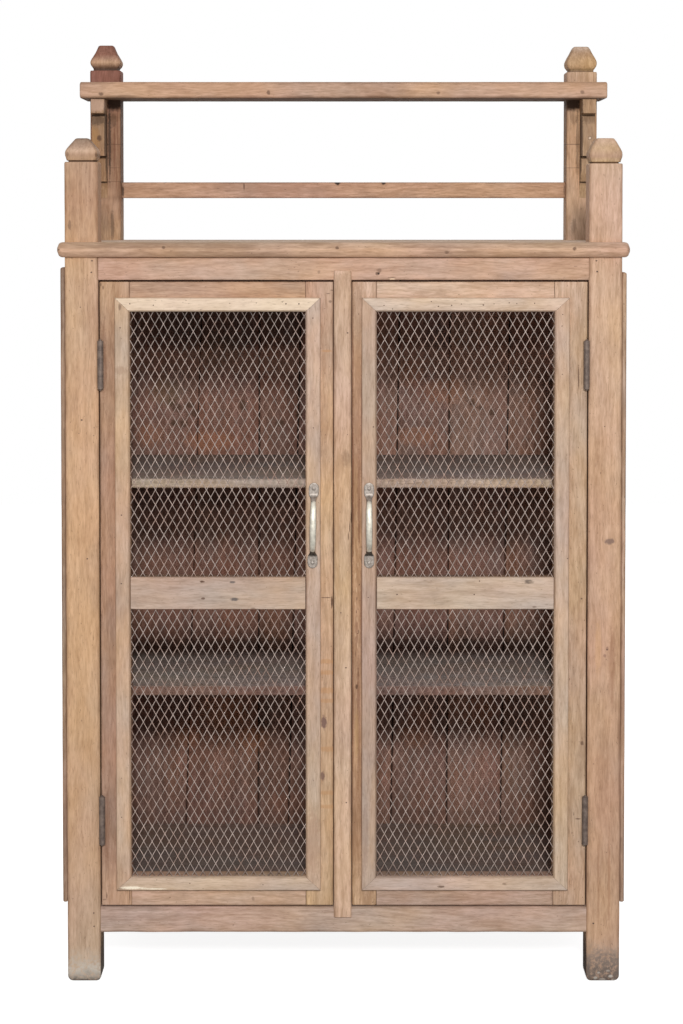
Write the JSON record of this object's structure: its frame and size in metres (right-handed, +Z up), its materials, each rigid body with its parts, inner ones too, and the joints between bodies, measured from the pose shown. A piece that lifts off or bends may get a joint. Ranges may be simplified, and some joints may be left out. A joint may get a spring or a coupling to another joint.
{
  "type": "jelly cupboard",
  "caption": "Freestanding post-framed jelly cupboard with wire-mesh doors on butt hinges, inner shelves, carved square post finials and a bracketed gallery shelf above the top board.",
  "frame": {"origin": "on the floor, under the middle of the bounding box", "axes": "+Z up, +X to the right of someone facing the doors, -Y out of the doors"},
  "size_m": [0.907, 0.4744, 1.526],
  "materials": {
    "post_wood": "dry stripped teak, worn at the feet",
    "rail_wood": "dry stripped teak, a little pinker",
    "mullion_wood": "dry stripped teak",
    "top_wood": "dry stripped teak with a greyed upper face",
    "panel_wood": "dry stripped teak",
    "inner_wood": "dull reddish brown, unfinished",
    "door_wood": "dry stripped teak",
    "bead_wood": "paler stripped teak",
    "wire": "dull galvanised wire with light rust",
    "handle_metal": "worn nickel over steel",
    "hinge_metal": "dark aged steel"
  },
  "bodies": {
    "carcass": {"front_left_post": "post_wood", "front_right_post": "post_wood", "rear_left_post": "post_wood", "rear_right_post": "post_wood", "front_top_rail": "rail_wood", "front_bottom_rail": "rail_wood", "left_upper_side_rail": "rail_wood", "left_lower_side_rail": "rail_wood", "right_upper_side_rail": "rail_wood", "right_lower_side_rail": "rail_wood", "gallery_rail": "rail_wood", "centre_mullion": "mullion_wood", "top_board": "top_wood", "gallery_shelf": "top_wood", "left_gallery_bracket": "top_wood", "right_gallery_bracket": "top_wood", "left_side_panel": "panel_wood", "right_side_panel": "panel_wood", "floor_board": "inner_wood", "upper_shelf": "inner_wood", "lower_shelf": "inner_wood", "back_board_1": "inner_wood", "back_board_2": "inner_wood", "back_board_3": "inner_wood", "back_board_4": "inner_wood", "back_board_5": "inner_wood", "back_board_6": "inner_wood", "back_board_7": "inner_wood", "left_lower_hinge_post_leaf": "hinge_metal", "left_upper_hinge_post_leaf": "hinge_metal", "right_lower_hinge_post_leaf": "hinge_metal", "right_upper_hinge_post_leaf": "hinge_metal"},
    "left_door": {"left_door_hinge_stile": "door_wood", "left_door_lock_stile": "door_wood", "left_door_top_rail": "door_wood", "left_door_mid_rail": "door_wood", "left_door_bottom_rail": "door_wood", "left_door_mid_bar": "bead_wood", "left_door_top_bead": "bead_wood", "left_door_bottom_bead": "bead_wood", "left_door_hinge_side_bead": "bead_wood", "left_door_lock_side_bead": "bead_wood", "left_door_mesh": "wire", "left_door_handle": "handle_metal", "left_lower_hinge_door_leaf": "hinge_metal", "left_upper_hinge_door_leaf": "hinge_metal"},
    "right_door": {"right_door_hinge_stile": "door_wood", "right_door_lock_stile": "door_wood", "right_door_top_rail": "door_wood", "right_door_mid_rail": "door_wood", "right_door_bottom_rail": "door_wood", "right_door_mid_bar": "bead_wood", "right_door_top_bead": "bead_wood", "right_door_bottom_bead": "bead_wood", "right_door_hinge_side_bead": "bead_wood", "right_door_lock_side_bead": "bead_wood", "right_door_mesh": "wire", "right_door_handle": "handle_metal", "right_lower_hinge_door_leaf": "hinge_metal", "right_upper_hinge_door_leaf": "hinge_metal"}
  },
  "joints": [
    {"name": "left_door_swing", "type": "hinge", "parent": "carcass", "child": "left_door", "pos_m": [-0.3855, -0.2022, 0.627], "axis": [0, 0, -1], "range_deg": [0, 170]},
    {"name": "right_door_swing", "type": "hinge", "parent": "carcass", "child": "right_door", "pos_m": [0.3855, -0.2022, 0.627], "axis": [0, 0, 1], "range_deg": [0, 170]}
  ]
}
